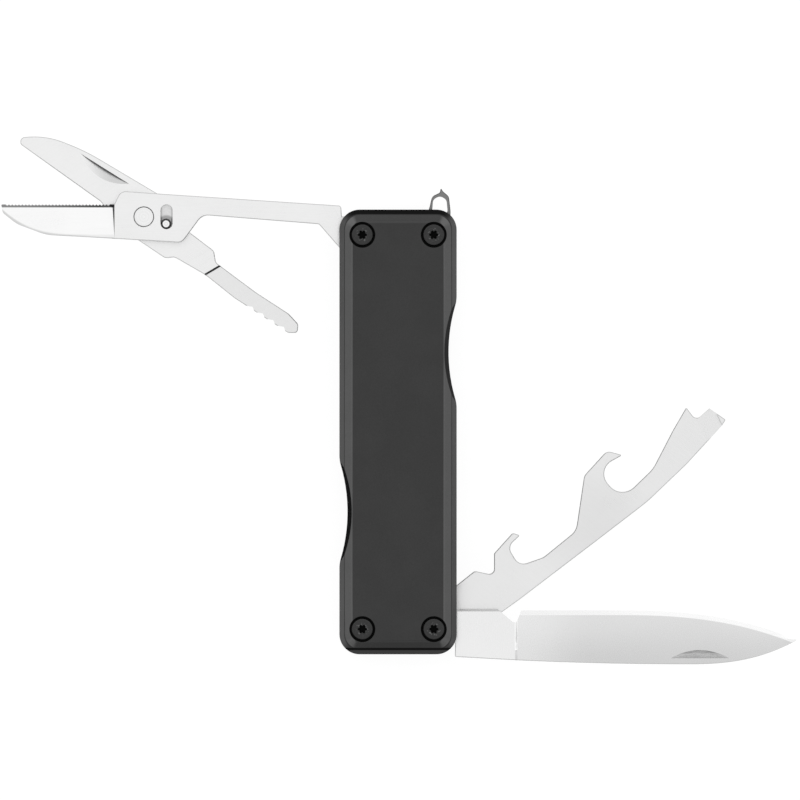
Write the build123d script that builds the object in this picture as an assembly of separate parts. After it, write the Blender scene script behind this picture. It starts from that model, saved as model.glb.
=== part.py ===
from build123d import *
import math
import os

# A pocket multi tool with two layers of folding tools between two handle scales.
# Frame: the tool lies on its rear scale. +Z is out of the front scale, Y runs along the
# handle, X across it, and the origin is the centre of the rear scale's flat outer face.
# Rest pose: knife straight out, opener part open, scissors out with the jaws open.

# ---------------------------------------------------------------- handle, mm
HANDLE_WIDTH = 17.4
HANDLE_LENGTH = 66.0
HANDLE_CORNER = 3.0
NOTCH_DEPTH = 1.2           # finger notches that bare the nail nicks
NOTCH_RADIUS = 24.5
NOTCH_LIP = 5.0             # rounding where a notch meets the straight side
NOTCH_Y = 11.85             # notch centre, above the middle on the right, below it on the left
NOTCH_FLARE = 0.65          # bevel along the notch's outer edge
LINER_INSET = 0.25

SCALE_THICK = 2.4
SCALE_WALL = 0.8            # upright part of the scale's side
STEEP_WIDTH = 0.7           # outer bevel, in plan
STEEP_HEIGHT = 0.9
SHALLOW_WIDTH = 1.2         # inner bevel, in plan
BEVEL_BLEND = 0.8           # rounding between the bevels and the face

# ---------------------------------------------------------------- layers, from the rear face up
LINER_THICK = 0.5
TOOL_THICK = 1.6
TOOL_GAP = 0.05             # running gap between a tool and its liner
LAYER_GAP = 0.2             # gap between the two tool layers, filled by washers at the posts
REAR_LINER_Z = SCALE_THICK
REAR_Z = REAR_LINER_Z + LINER_THICK + TOOL_GAP
REAR_TOP_Z = REAR_Z + TOOL_THICK
FRONT_Z = REAR_TOP_Z + LAYER_GAP
FRONT_TOP_Z = FRONT_Z + TOOL_THICK
FRONT_LINER_Z = FRONT_TOP_Z + TOOL_GAP
FRONT_SCALE_Z = FRONT_LINER_Z + LINER_THICK
TOP_Z = FRONT_SCALE_Z + SCALE_THICK

# ---------------------------------------------------------------- posts and screws
POST_X = 5.3
POST_Y = 29.25
POST_RADIUS = 1.5
POST_BORE = 1.0             # threaded bore, drawn at its major radius
PIVOT_CLEARANCE = 0.03
SCREW_HEAD_RADIUS = 1.62
SCREW_HEAD_HEIGHT = 1.2
SCREW_HEAD_ROUND = 0.25
SCREW_SHANK_RADIUS = 0.98
SCREW_SHANK_LENGTH = 3.2
SCREW_END_BEVEL = 0.2
SCREW_SUNK = 0.1            # head below the face of the scale
COUNTERBORE_RADIUS = 1.93
SHANK_HOLE_RADIUS = 1.1
LOBE_CENTRE = 0.5           # six-lobe driver recess
LOBE_RADIUS = 0.2
RECESS_DEPTH = 0.8
WASHER_RADIUS = 2.5
WASHER_THICK = 0.18

KNIFE_POST = (POST_X, -POST_Y)
SCISSOR_POST = (-POST_X, POST_Y)
LANYARD_POST = (POST_X, POST_Y)
SPRING_POST = (-POST_X, -POST_Y)
POSTS = (KNIFE_POST, SCISSOR_POST, LANYARD_POST, SPRING_POST)

# ---------------------------------------------------------------- tools
TANG_RADIUS = 2.95
SHOULDER = 3.16             # stop shoulder, out from the pivot
EDGE_SOFTEN = 0.12

TANG_BEVEL = 0.35           # along the top of the knife's tang
BLADE_START = 12.4          # end of the plunge, out from the knife's pivot
BLADE_TIP = 54.0
BLADE_STEPS = 16            # sections between the plunge and the point
TIP_LAND = 0.15             # the last section stands this far back from the full point
PLUNGE_WIDTH = 0.25
SPINE_BEVEL = 0.12          # softening of the spine's corners
EDGE_BEVEL = 0.7            # whetted strip along the cutting edge
EDGE_BEVEL_HALF = 0.16      # half the blade's thickness where that strip starts
EDGE_HALF = 0.03
EDGE_HEIGHT = 2.75          # straight cutting edge, above the pivot
SPINE_DROP = -4.15          # spine at the shoulder, below the pivot
SPINE_LOW = -5.25           # lowest point of the spine
SPINE_LOW_X = 37.7
TIP_HEIGHT = -1.65
BELLY_START = 26.7
KNIFE_NICK = (39.55, -4.4)
KNIFE_NICK_LENGTH = 9.2
KNIFE_NICK_WIDTH = 1.4
KNIFE_NICK_LEAN = 35.0
GRIND_ANGLE = 4.7           # lean of the blade's ground face

OPENER_ANGLE = 40.0         # how far the opener stands up at rest
DRIVER_GRIND = 3.0
DRIVER_TIP_THICK = 0.8
DRIVER_TIP = (53.0, -1.0)

RIVET = (-37.75, 31.95)
RIVET_RADIUS = 1.1
RIVET_HEAD_RADIUS = 1.5
RIVET_HEAD_THICK = 0.5
RIVET_HEAD_BEVEL = 0.12
RIVET_SEAT_GAP = 0.05
RIVET_SUNK = 0.03           # rear head below the moving jaw's rear face
RIVET_PLAY = 0.03           # end play of the moving jaw
JAW_GAP = 0.05
JAW_TOP_Z = FRONT_Z - JAW_GAP
JAW_BOTTOM_Z = REAR_Z + 0.1
JAW_GRIND_WIDTH = 4.9       # hollow behind the moving jaw's cutting edge
JAW_GRIND_DEPTH = 0.7
JAW_EDGE_THICK = 0.25
COIL_RADIUS = 1.9           # return spring's turn about the rivet
COIL_WIRE = 0.25
COIL_LEG = 2.2
COIL_START = -190.0
COIL_TURN = 300.0
POCKET_RADIUS = 2.45        # room for that spring in the moving jaw
POCKET_REACH = 3.6          # and for its leg
POCKET_DEPTH = 0.7
JAW_EDGE_ANGLE = 35.5       # cutting edge of the open jaw, above level
JAW_EDGE_Y = -1.88          # the same edge, level with X, above the rivet
LEVER_THIN = 0.4            # the thumb lever's face lies this far below the jaw's
LEVER_TOP_Z = JAW_TOP_Z - LEVER_THIN
LEVER_STEP = (-27.4, 23.95)
LEVER_STEP_ANGLE = 30.6
STEP_LEAN = 0.3             # lean of the step walls, in plan
JAW_NICK = (-43.55, 39.1)
JAW_NICK_ANGLE = -32.0
JAW_NICK_LENGTH = 8.5
JAW_NICK_WIDTH = 1.5
JAW_NICK_LEAN = 20.0
GRIP_START = (-22.5, 18.74) # first and last crest of the thumb grip
GRIP_END = (-16.3, 14.77)
GRIP_GROOVES = 4
GRIP_DEPTH = 0.34
LIMIT_PIN = (-34.45, 30.9)
LIMIT_PIN_RADIUS = 0.76
LIMIT_PIN_BEVEL = 0.25
LIMIT_SLOT = (-34.38, 31.95)
LIMIT_SLOT_WIDTH = 1.8
LIMIT_SLOT_LENGTH = 3.7
EDGE_Y = 33.8               # the fixed jaw's cutting edge
JAW_STEP_X = -42.1          # where the fixed jaw's ground face starts
JAW_GRIND_Y = 28.9          # lower limit of that face
EDGE_BAND = 0.48            # toothed strip along the edge
EDGE_DROP = 0.55            # how far the ground face falls to that strip
TOOTH_PITCH = 0.5
TOOTH_DEPTH = 0.2

LOOP_THICK = 1.5
LOOP_EYE_RADIUS = 2.5
LOOP_SOFTEN = 0.1

SPRING_HALF_WIDTH = 1.75    # both legs of a back spring, side by side
SPRING_LEG = 1.4
SPRING_ARM = 1.3
SPRING_NOSE_X = 2.25
SPRING_FOOT_RADIUS = 2.6
SPRING_BRIDGE = 2.4         # height of the bend that joins the two legs


# ---------------------------------------------------------------- helpers
def plate(plan, low, high):
    """A flat solid with the given plan, between two heights."""
    return extrude(Pos(0, 0, low) * plan, amount=high - low)


def rounded(corners):
    """A face from (x, y, corner radius) triples."""
    points = [(x, y) for x, y, _ in corners]
    return make_face(FilletPolyline(points, radius=[r for _, _, r in corners], close=True))


def disc(centre, radius, low, high):
    """An upright cylinder between two heights."""
    return plate(Pos(*centre) * Circle(radius), low, high)


def ring(centre, outer, inner, low, high):
    """An upright tube between two heights."""
    return disc(centre, outer, low, high) - disc(centre, inner, low, high)


def side_profile(points, start, end):
    """A prism along X with a (y, z) outline, between two X positions."""
    outline = Plane.YZ * make_face(Polyline(points, close=True))
    return Pos(start, 0, 0) * extrude(outline, amount=end - start)


def about(centre, angle):
    """A turn about an upright axis through the centre."""
    return Pos(*centre) * Rot(0, 0, angle) * Pos(-centre[0], -centre[1])


def nail_nick(length, width, lean):
    """The wheel that cuts a nail nick in the plane Z = 0. Its flat end leaves a wall that leans
    off upright along the X axis, and its rim a floor that runs out as an arc towards +Y."""
    angle = math.radians(lean)
    sink = width * math.sin(angle)
    radius = (length**2 / 4 + sink**2) / (2 * sink)
    wheel = Cylinder(radius, 1.2 * width, align=(Align.CENTER, Align.CENTER, Align.MIN))
    lift = radius - sink
    centre = Pos(0, -lift * math.sin(angle), lift * math.cos(angle))
    return centre * Rot(lean - 90, 0, 0) * wheel


def soft_plate(plan, low, high):
    """A flat solid whose upper outline is broken by a small bevel."""
    body = plate(plan, low, high)
    top = body.faces().filter_by(Plane.XY).group_by(Axis.Z)[-1]
    return chamfer(top[0].outer_wire().edges(), EDGE_SOFTEN)


# ---------------------------------------------------------------- handle
def handle_plan(inset=0.0):
    """Plan of the handle: a rounded bar with a shallow finger notch on each long side."""
    bar = RectangleRounded(
        HANDLE_WIDTH - 2 * inset, HANDLE_LENGTH - 2 * inset, HANDLE_CORNER - inset
    )
    notch_x = HANDLE_WIDTH / 2 - NOTCH_DEPTH + NOTCH_RADIUS
    for side in (1, -1):
        bar -= Pos(side * notch_x, side * NOTCH_Y) * Circle(NOTCH_RADIUS + inset)
    lips = [v for v in bar.vertices() if abs(abs(v.Y) - NOTCH_Y) < 0.75 * NOTCH_Y]
    return fillet(lips, NOTCH_LIP)


def bevelled_block():
    """The scale before it is notched and drilled, inner face at Z = 0."""
    steep_rise = SCALE_WALL + STEEP_HEIGHT
    shallow_height = SCALE_THICK - steep_rise
    foot = RectangleRounded(HANDLE_WIDTH, HANDLE_LENGTH, HANDLE_CORNER)
    shelf = RectangleRounded(
        HANDLE_WIDTH - 2 * STEEP_WIDTH,
        HANDLE_LENGTH - 2 * STEEP_WIDTH,
        HANDLE_CORNER - STEEP_WIDTH,
    )
    steep = math.degrees(math.atan2(STEEP_WIDTH, STEEP_HEIGHT))
    shallow = math.degrees(math.atan2(SHALLOW_WIDTH, shallow_height))
    block = plate(foot, 0, SCALE_WALL)
    block += extrude(Pos(0, 0, SCALE_WALL) * foot, amount=STEEP_HEIGHT, taper=steep)
    block += extrude(Pos(0, 0, steep_rise) * shelf, amount=shallow_height, taper=shallow)
    rims = block.edges().filter_by(lambda e: e.center().Z > SCALE_WALL + 0.01)
    level = [e for e in rims if abs((e @ 0).Z - (e @ 1).Z) < 0.001]
    return fillet(level, BEVEL_BLEND)


def scale():
    """One handle scale, inner face at Z = 0 and outer face at Z = SCALE_THICK."""
    body = bevelled_block() & plate(handle_plan(), 0, SCALE_THICK)
    notch_x = HANDLE_WIDTH / 2 - NOTCH_DEPTH + NOTCH_RADIUS
    rise = SCALE_THICK - SCALE_WALL
    for side in (1, -1):
        flare = Cone(NOTCH_RADIUS, NOTCH_RADIUS + NOTCH_FLARE, rise)
        body -= Pos(side * notch_x, side * NOTCH_Y, SCALE_WALL + rise / 2) * flare
    seat = SCALE_THICK - SCREW_SUNK - SCREW_HEAD_HEIGHT
    for post in POSTS:
        body -= disc(post, SHANK_HOLE_RADIUS, 0, SCALE_THICK)
        body -= disc(post, COUNTERBORE_RADIUS, seat, SCALE_THICK)
    return body


def liner():
    """One liner plate, lower face at Z = 0."""
    body = plate(handle_plan(LINER_INSET), 0, LINER_THICK)
    for post in POSTS:
        body -= disc(post, POST_RADIUS, 0, LINER_THICK)
    return body


def screw():
    """A button screw with a six-lobe recess, the underside of its head at Z = 0."""
    head = plate(Circle(SCREW_HEAD_RADIUS), 0, SCREW_HEAD_HEIGHT)
    head = fillet(head.edges().group_by(Axis.Z)[-1], SCREW_HEAD_ROUND)
    recess = Circle(LOBE_CENTRE)
    for lobe in PolarLocations(LOBE_CENTRE, 6):
        recess += lobe * Circle(LOBE_RADIUS)
    head -= plate(recess, SCREW_HEAD_HEIGHT - RECESS_DEPTH, SCREW_HEAD_HEIGHT)
    shank = plate(Circle(SCREW_SHANK_RADIUS), -SCREW_SHANK_LENGTH, 0)
    return head + chamfer(shank.edges().group_by(Axis.Z)[0], SCREW_END_BEVEL)


def post_at(centre):
    """A threaded barrel between the two scales."""
    return ring(centre, POST_RADIUS, POST_BORE, SCALE_THICK, FRONT_SCALE_Z)


def washers():
    """Bronze washers that part the two layers at the four posts."""
    low = REAR_TOP_Z + (LAYER_GAP - WASHER_THICK) / 2
    hole = POST_RADIUS + PIVOT_CLEARANCE
    return [ring(p, WASHER_RADIUS, hole, low, low + WASHER_THICK) for p in POSTS]


def back_spring_half(top):
    """Foot, fixed leg, hairpin and arm of a back spring that bears on the lower right tang."""
    leg_left = -SPRING_HALF_WIDTH
    leg_right = leg_left + SPRING_LEG
    arm_right = SPRING_HALF_WIDTH - 0.25
    arm_left = arm_right - SPRING_ARM
    foot_y = -POST_Y
    leg = rounded(
        [
            (leg_left, top, 0.6),
            (leg_right, top, 0),
            (leg_right, foot_y + 1.0, 1.2),
            (leg_right - 1.2, foot_y - 1.2, 1.2),
            (-POST_X, foot_y - 1.6, 0),
            (-POST_X, foot_y + 1.6, 0),
            (leg_left, foot_y + 1.6, 1.0),
        ]
    )
    arm = rounded(
        [
            (arm_left, top, 0),
            (arm_right, top, 0.6),
            (arm_right, foot_y + 2.2, 0.8),
            (SPRING_NOSE_X, foot_y + 1.4, 0.3),
            (SPRING_NOSE_X, foot_y - 1.2, 0.3),
            (arm_left, foot_y - 1.2, 0.5),
        ]
    )
    middle = (leg_left + arm_right) / 2
    bend = Rectangle(arm_right - leg_left - 1.2, SPRING_BRIDGE)
    bridge = Pos(middle, top - SPRING_BRIDGE / 2) * bend
    foot = Pos(-POST_X, foot_y) * Circle(SPRING_FOOT_RADIUS)
    return leg + arm + bridge + foot


def front_spring():
    """Back spring of the front layer: one hairpin for the knife and one for the scissors."""
    half = back_spring_half(1.2)
    plan = half + Rot(0, 0, 180) * half
    body = plate(plan, FRONT_Z, FRONT_TOP_Z)
    for post in (SPRING_POST, LANYARD_POST):
        body -= disc(post, POST_RADIUS, FRONT_Z, FRONT_TOP_Z)
    return body


def rear_spring():
    """Back spring of the rear layer: one hairpin for the opener."""
    body = plate(back_spring_half(-5.8), REAR_Z, REAR_TOP_Z)
    return body - disc(SPRING_POST, POST_RADIUS, REAR_Z, REAR_TOP_Z)


def scissor_spacer():
    """Ring under the scissors' tang, filling the rear layer."""
    low = REAR_LINER_Z + LINER_THICK
    return ring(SCISSOR_POST, WASHER_RADIUS, POST_RADIUS, low, REAR_TOP_Z)


# ---------------------------------------------------------------- knife
def spine_height(x):
    """The knife's spine, as a height above the pivot, at a distance out along the blade."""
    if x < SPINE_LOW_X:
        run = (x - SHOULDER) / (SPINE_LOW_X - SHOULDER)
        return SPINE_DROP + (SPINE_LOW - SPINE_DROP) * run * (2 - run)
    run = (x - SPINE_LOW_X) / (BLADE_TIP - SPINE_LOW_X)
    return SPINE_LOW + (TIP_HEIGHT - SPINE_LOW) * run**2.5


def edge_height(x):
    """The knife's cutting edge, as a height above the pivot."""
    if x < BELLY_START:
        return EDGE_HEIGHT
    run = (x - BELLY_START) / (BLADE_TIP - BELLY_START)
    return EDGE_HEIGHT - (EDGE_HEIGHT - TIP_HEIGHT) * run**2.6


def blade_section(x):
    """Cross-section of the ground blade: a long wedge that ends in a whetted strip."""
    spine = spine_height(x)
    edge = edge_height(x)
    height = edge - spine
    narrowing = 1 - height / (EDGE_HEIGHT - SPINE_LOW)
    strip = edge - min(EDGE_BEVEL, 0.3 * height)
    half = TOOL_THICK / 2 * (1 - narrowing**2)
    thin = min(EDGE_BEVEL_HALF, 0.8 * half)
    soft = SPINE_BEVEL * (1 - narrowing**2)
    outline = Polyline(
        (spine, soft - half),
        (spine + soft, -half),
        (strip, -thin),
        (edge, -EDGE_HALF),
        (edge, EDGE_HALF),
        (strip, thin),
        (spine + soft, half),
        (spine, half - soft),
        close=True,
    )
    return Pos(x, 0, 0) * (Plane.YZ * make_face(outline))


def blade_stations():
    """Distances out along the blade, closing up evenly towards the point."""
    reach = BLADE_TIP - TIP_LAND - BLADE_START
    left = [(1 - i / BLADE_STEPS) ** 1.6 for i in range(BLADE_STEPS + 1)]
    return [BLADE_START + reach * (1 - share) for share in left]


def tang_section(x, low, high):
    """Cross-section of the tang with as many corners as the blade's."""
    spine = spine_height(x)
    strip = EDGE_HEIGHT - EDGE_BEVEL
    outline = Polyline(
        (spine, low + SPINE_BEVEL),
        (spine + SPINE_BEVEL, low),
        (strip, low),
        (TANG_RADIUS, low),
        (TANG_RADIUS, high),
        (strip, high),
        (spine + SPINE_BEVEL, high),
        (spine, high - SPINE_BEVEL),
        close=True,
    )
    return Pos(x, 0, 0) * (Plane.YZ * make_face(outline))


def knife_blade():
    """The knife, straight out to the right of the lower right post."""
    plunge = BLADE_START - PLUNGE_WIDTH
    low, high = -TOOL_THICK / 2, TOOL_THICK / 2
    tang_plan = rounded(
        [
            (0, TANG_RADIUS, 0),
            (plunge, TANG_RADIUS, 0),
            (plunge, spine_height(plunge), 0),
            (SHOULDER, SPINE_DROP, 0.15),
            (SHOULDER, -2.05, 0),
            (0.94, -2.796, 0),
            (0, 0, 0),
        ]
    )
    body = plate(tang_plan, low, high)
    spine = [e for e in body.edges() if e.center().Y < -TANG_RADIUS and e.length > TANG_RADIUS]
    body = chamfer(spine, SPINE_BEVEL) + plate(Circle(TANG_RADIUS), low, high)
    body += loft([tang_section(plunge, low, high), blade_section(BLADE_START)], ruled=True)
    body += loft([blade_section(x) for x in blade_stations()])
    choil = rounded([(8.9, 3.4, 0), (12.2, 0.65, 0.5), (13.25, 3.4, 0)])
    body -= plate(choil, low, high)
    bevel = [(TANG_RADIUS - TANG_BEVEL, high), (TANG_RADIUS, high - TANG_BEVEL), (TANG_RADIUS, high)]
    body -= side_profile(bevel, 0, BLADE_START)
    body -= disc((0, 0), POST_RADIUS + PIVOT_CLEARANCE, low, high)
    nick = Rot(-GRIND_ANGLE, 0, 0) * nail_nick(KNIFE_NICK_LENGTH, KNIFE_NICK_WIDTH, KNIFE_NICK_LEAN)
    body -= Pos(*KNIFE_NICK, high) * nick
    return Pos(*KNIFE_POST, (FRONT_Z + FRONT_TOP_Z) / 2) * body


# ---------------------------------------------------------------- opener
def opener_plan():
    """Outline of the opener, lying along +X from its pivot at the origin."""
    outline = rounded(
        [
            (0, TANG_RADIUS, 0),
            (10.2, 2.66, 0.7),
            (12.0, 0.32, 0.75),
            (14.05, 2.8, 0.35),
            (18.15, 3.38, 0.45),
            (18.75, 2.38, 0.15),
            (16.25, 2.25, 1.3),
            (15.75, -1.0, 1.5),
            (19.3, -2.35, 2.5),
            (25.55, -2.45, 2.4),
            (31.75, 3.05, 1.3),
            (36.7, 3.72, 1.1),
            (38.1, 1.72, 0.15),
            (33.65, 2.62, 2.2),
            (33.7, -3.2, 2.45),
            (40.2, -2.75, 5.0),
            (46.2, -0.25, 8.0),
            (49.9, 1.08, 0.15),
            (49.75, -1.3, 0.8),
            (52.45, -1.25, 0.15),
            (53.2, -4.1, 0.15),
            (52.2, -4.42, 0.4),
            (44.5, -5.42, 10.0),
            (36.5, -5.95, 20.0),
            (26.0, -5.5, 20.0),
            (12.6, -4.87, 10.0),
            (SHOULDER, SPINE_DROP, 0.15),
            (SHOULDER, -2.05, 0),
            (0.94, -2.796, 0),
            (0, 0, 0),
        ]
    )
    return outline + Circle(TANG_RADIUS)


def combo_opener():
    """Bottle opener, small hook, prong and flat driver on one plate, standing part open."""
    body = soft_plate(opener_plan(), 0, TOOL_THICK)
    cheek = (TOOL_THICK - DRIVER_TIP_THICK) / 2
    wedge = Plane.XZ * make_face(Polyline((-DRIVER_GRIND, 0), (0.2, cheek), (0.2, 0), close=True))
    grind = Pos(*DRIVER_TIP) * Rot(0, 0, -14.5) * Pos(0, 5, 0) * extrude(wedge, amount=14)
    driver_side = plate(Pos(52, -3.6) * Rectangle(8, 4.6), -1, TOOL_THICK + 1)
    body -= grind & driver_side
    body -= (Pos(0, 0, TOOL_THICK) * mirror(grind, about=Plane.XY)) & driver_side
    body -= disc((0, 0), POST_RADIUS + PIVOT_CLEARANCE, 0, TOOL_THICK)
    return Pos(*KNIFE_POST, REAR_Z) * Rot(0, 0, OPENER_ANGLE) * body


# ---------------------------------------------------------------- scissors
def scissor_frame_plan():
    """Outline of the fixed jaw, head, arm and tang, out to the left of the upper left post."""
    outline = rounded(
        [
            (-58.95, EDGE_Y, 0.15),
            (-58.7, 32.5, 0.8),
            (-56.6, 30.85, 4.0),
            (-52.3, 29.25, 8.0),
            (-46.5, 28.95, 20.0),
            (-32.1, 28.1, 1.3),
            (-29.05, 32.22, 1.8),
            (-11.75, 30.85, 0.6),
            (-8.29, 26.86, 0.6),
            (-5.9, 26.36, 0),
            (-5.3, 29.25, 0),
            (-5.5, 32.19, 0),
            (-8.35, 32.0, 0),
            (-8.45, 33.6, 0.45),
            (-35.0, 35.35, 0),
            (-41.2, 35.8, 1.3),
            (-42.15, EDGE_Y, 0),
        ]
    )
    return outline + Pos(*SCISSOR_POST) * Circle(TANG_RADIUS)


def edge_teeth(start, end, y):
    """A comb of fine notches along a cutting edge, as one flat face."""
    count = int((end - start) / TOOTH_PITCH)
    comb = [(start, y + 1)]
    for i in range(count):
        x = start + i * TOOTH_PITCH
        comb.append((x, y))
        comb.append((x + TOOTH_PITCH / 2, y - TOOTH_DEPTH))
    comb.append((start + count * TOOTH_PITCH, y))
    comb.append((start + count * TOOTH_PITCH, y + 1))
    return make_face(Polyline(comb, close=True))


def scissor_frame():
    """Fixed jaw and head on a slim arm; the jaw's face is ground down towards its edge."""
    body = soft_plate(scissor_frame_plan(), FRONT_Z, FRONT_TOP_Z)
    above = FRONT_TOP_Z + 1
    grind = [
        (JAW_GRIND_Y, FRONT_TOP_Z),
        (EDGE_Y - EDGE_BAND, FRONT_TOP_Z - EDGE_DROP),
        (EDGE_Y + 0.05, FRONT_Z + 0.1),
        (EDGE_Y + 1, FRONT_Z + 0.1),
        (EDGE_Y + 1, above),
        (JAW_GRIND_Y, above),
    ]
    foot_x = JAW_STEP_X - STEP_LEAN * TOOL_THICK / EDGE_DROP
    reach = [(-60, FRONT_Z), (foot_x, FRONT_Z), (JAW_STEP_X, FRONT_TOP_Z)]
    reach += [(JAW_STEP_X, above), (-60, above)]
    wall = Pos(0, EDGE_Y + 2, 0) * extrude(Plane.XZ * make_face(Polyline(reach, close=True)), amount=9)
    body -= side_profile(grind, -60, JAW_STEP_X) & wall
    body -= plate(edge_teeth(-58.3, JAW_STEP_X - 0.3, EDGE_Y), FRONT_Z - 1, FRONT_TOP_Z)
    seat_z = FRONT_TOP_Z - RIVET_HEAD_THICK
    body -= disc(RIVET, RIVET_RADIUS, FRONT_Z, FRONT_TOP_Z)
    body -= disc(RIVET, RIVET_HEAD_RADIUS + RIVET_SEAT_GAP, seat_z, FRONT_TOP_Z)
    slot = SlotOverall(LIMIT_SLOT_LENGTH, LIMIT_SLOT_WIDTH, rotation=90)
    body -= plate(Pos(*LIMIT_SLOT) * slot, FRONT_Z, FRONT_TOP_Z)
    body -= disc(SCISSOR_POST, POST_RADIUS + PIVOT_CLEARANCE, FRONT_Z, FRONT_TOP_Z)
    return body - spring_anchor(0.03)


def spring_anchor(extra):
    """The return spring's upright end, which the head holds."""
    start = Vector(*RIVET) + Vector(COIL_RADIUS, 0).rotate(Axis.Z, COIL_START)
    foot = JAW_TOP_Z - POCKET_DEPTH / 2
    return disc((start.X, start.Y), COIL_WIRE + extra, foot, FRONT_Z + 0.6)


def scissor_jaw_plan():
    """Outline of the moving jaw and its thumb lever, at rest with the jaws open."""
    return rounded(
        [
            (-56.15, 43.75, 0.7),
            (-52.3, 44.1, 12.0),
            (-46.4, 41.75, 30.0),
            (-33.3, 33.95, 0.8),
            (-31.9, 30.35, 2.0),
            (-27.35, 26.9, 0.9),
            (-27.05, 25.15, 0.8),
            (-21.0, 20.65, 10.0),
            (-16.3, 17.6, 1.2),
            (-14.8, 16.0, 0.8),
            (-14.95, 14.7, 0.5),
            (-16.35, 14.72, 0.3),
            (-24.3, 19.87, 3.0),
            (-28.6, 23.3, 10.0),
            (-33.2, 25.95, 0.8),
            (-34.6, 25.8, 1.0),
            (-39.9, 29.35, 2.0),
            (-42.2, 31.2, 1.5),
            (-44.1, 34.17, 2.0),
            (-56.1, 42.73, 0.5),
        ]
    )


def grip_grooves():
    """Notches along the lever's outer edge, with a flat crest between them."""
    start = Vector(*GRIP_START)
    step = (Vector(*GRIP_END) - start) * (1 / GRIP_GROOVES)
    inward = step.normalized().rotate(Axis.Z, 90)
    cuts = []
    for i in range(GRIP_GROOVES):
        near = start + step * i
        deep = near + step * 0.44 + inward * GRIP_DEPTH
        far = near + step * 0.7
        cuts.append(make_face(Polyline(near, deep, far, far - inward, near - inward, close=True)))
    return Sketch() + cuts


def lever_step():
    """What is left off above the thumb lever: it ends at a leaning step."""
    profile = [
        (STEP_LEAN, JAW_TOP_Z),
        (0, LEVER_TOP_Z),
        (-16, LEVER_TOP_Z),
        (-16, JAW_TOP_Z),
    ]
    return Pos(*LEVER_STEP) * Rot(0, 0, LEVER_STEP_ANGLE) * side_profile(profile, -4, 10)


def scissor_blade():
    """Moving jaw under the head: flat against the fixed jaw, ground on its rear face."""
    plan = scissor_jaw_plan()
    body = soft_plate(plan, JAW_BOTTOM_Z, JAW_TOP_Z) - lever_step()
    lever_side = Pos(*LEVER_STEP) * Rot(0, 0, LEVER_STEP_ANGLE) * Pos(3, -8) * Rectangle(14, 16)
    lever_body = soft_plate(plan, JAW_BOTTOM_Z, LEVER_TOP_Z)
    lever_zone = plate(lever_side, JAW_BOTTOM_Z, JAW_TOP_Z)
    body = (body - lever_zone) + (lever_body & lever_zone)
    body -= plate(grip_grooves(), JAW_BOTTOM_Z, JAW_TOP_Z)
    nick = nail_nick(JAW_NICK_LENGTH, JAW_NICK_WIDTH, JAW_NICK_LEAN)
    body -= Pos(*JAW_NICK, JAW_TOP_Z) * Rot(0, 0, 180 + JAW_NICK_ANGLE) * nick
    # The grind is drawn with the cutting edge level with X.
    x, y = RIVET
    edge = y + JAW_EDGE_Y
    grind = [
        (edge + JAW_GRIND_WIDTH, JAW_BOTTOM_Z),
        (edge + 0.9, JAW_BOTTOM_Z + JAW_GRIND_DEPTH),
        (edge, JAW_TOP_Z - JAW_EDGE_THICK),
        (edge - 2, JAW_TOP_Z - JAW_EDGE_THICK),
        (edge - 2, JAW_BOTTOM_Z - 1),
        (edge + JAW_GRIND_WIDTH, JAW_BOTTOM_Z - 1),
    ]
    body -= about(RIVET, -JAW_EDGE_ANGLE) * side_profile(grind, x - 23, x - 6.5)
    body -= disc(RIVET, RIVET_RADIUS + PIVOT_CLEARANCE, JAW_BOTTOM_Z, JAW_TOP_Z)
    head_top = JAW_BOTTOM_Z + RIVET_SUNK + RIVET_HEAD_THICK + RIVET_PLAY
    body -= disc(RIVET, RIVET_HEAD_RADIUS + RIVET_SEAT_GAP, JAW_BOTTOM_Z, head_top)
    body -= disc(LIMIT_PIN, LIMIT_PIN_RADIUS, JAW_BOTTOM_Z, JAW_TOP_Z)
    pocket = Circle(POCKET_RADIUS)
    wide = [Vector(POCKET_REACH, 0).rotate(Axis.Z, a) for a in (95, 136, 178)]
    pocket += make_face(Line((0, 0), wide[0]) + ThreePointArc(*wide) + Line(wide[2], (0, 0)))
    return body - plate(Pos(*RIVET) * pocket, JAW_TOP_Z - POCKET_DEPTH, JAW_TOP_Z)


def scissor_rivet():
    """Pivot of the jaws, with a flush head at each end."""
    bottom = JAW_BOTTOM_Z + RIVET_SUNK
    head = disc(RIVET, RIVET_HEAD_RADIUS, FRONT_TOP_Z - RIVET_HEAD_THICK, FRONT_TOP_Z)
    head = chamfer(head.edges().group_by(Axis.Z)[-1], RIVET_HEAD_BEVEL)
    body = disc(RIVET, RIVET_RADIUS, bottom, FRONT_TOP_Z - RIVET_HEAD_THICK) + head
    return body + disc(RIVET, RIVET_HEAD_RADIUS, bottom, bottom + RIVET_HEAD_THICK)


def scissor_limit_pin():
    """Pin of the moving jaw that runs in the head's slot."""
    body = disc(LIMIT_PIN, LIMIT_PIN_RADIUS, JAW_BOTTOM_Z, FRONT_TOP_Z - 0.1)
    return chamfer(body.edges().group_by(Axis.Z)[-1], LIMIT_PIN_BEVEL)


def scissor_return_spring():
    """One-turn wire spring round the rivet, hooked into the head and bearing on the jaw."""
    height = JAW_TOP_Z - POCKET_DEPTH / 2
    coil = CenterArc((*RIVET, height), COIL_RADIUS, COIL_START, COIL_TURN)
    leg = Line(coil @ 1, coil @ 1 + (coil % 1) * COIL_LEG)
    wire = Plane(coil @ 0, z_dir=coil % 0) * Circle(COIL_WIRE)
    return sweep(wire, path=Wire([coil, leg])) + spring_anchor(0.0)


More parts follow.
